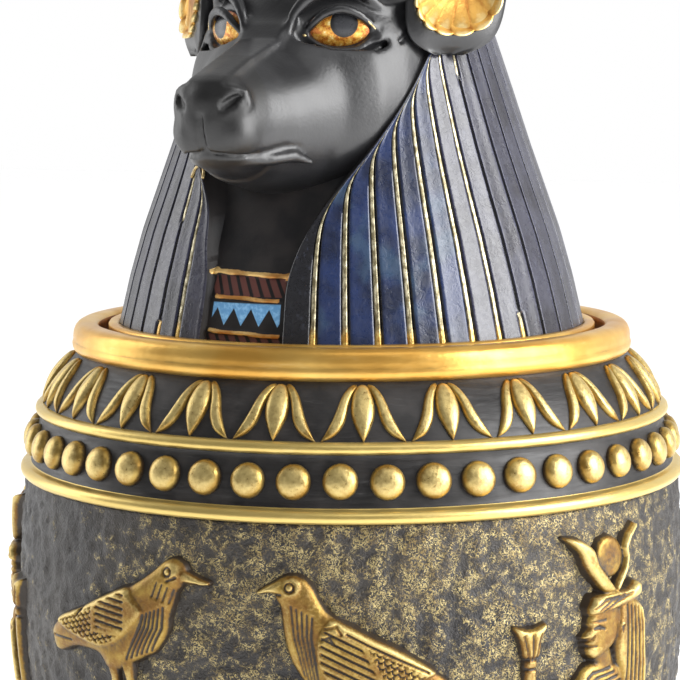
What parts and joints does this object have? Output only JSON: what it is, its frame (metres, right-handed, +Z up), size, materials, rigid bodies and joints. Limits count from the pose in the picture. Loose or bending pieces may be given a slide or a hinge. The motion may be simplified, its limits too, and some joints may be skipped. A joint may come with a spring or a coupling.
{
  "type": "canopic jar",
  "caption": "Hollow jar with raised lotus, bead and relief bands and a lift-off lid shaped as a jackal's head in a striped wig.",
  "frame": {"origin": "centre of the jar's flat underside", "axes": "+Z up the jar's axis, -Y the side the jackal faces, +X the jackal's left"},
  "size_m": [0.1453, 0.1457, 0.263],
  "materials": {
    "bronzed_resin": "dark stippled ground dry-brushed with gold, raised ornament in antique gold",
    "painted_resin": "satin black face and navy wig with gold lines"
  },
  "bodies": {
    "root": {"jar_body": "bronzed_resin", "jackal_lid": "painted_resin"}
  },
  "joints": []
}
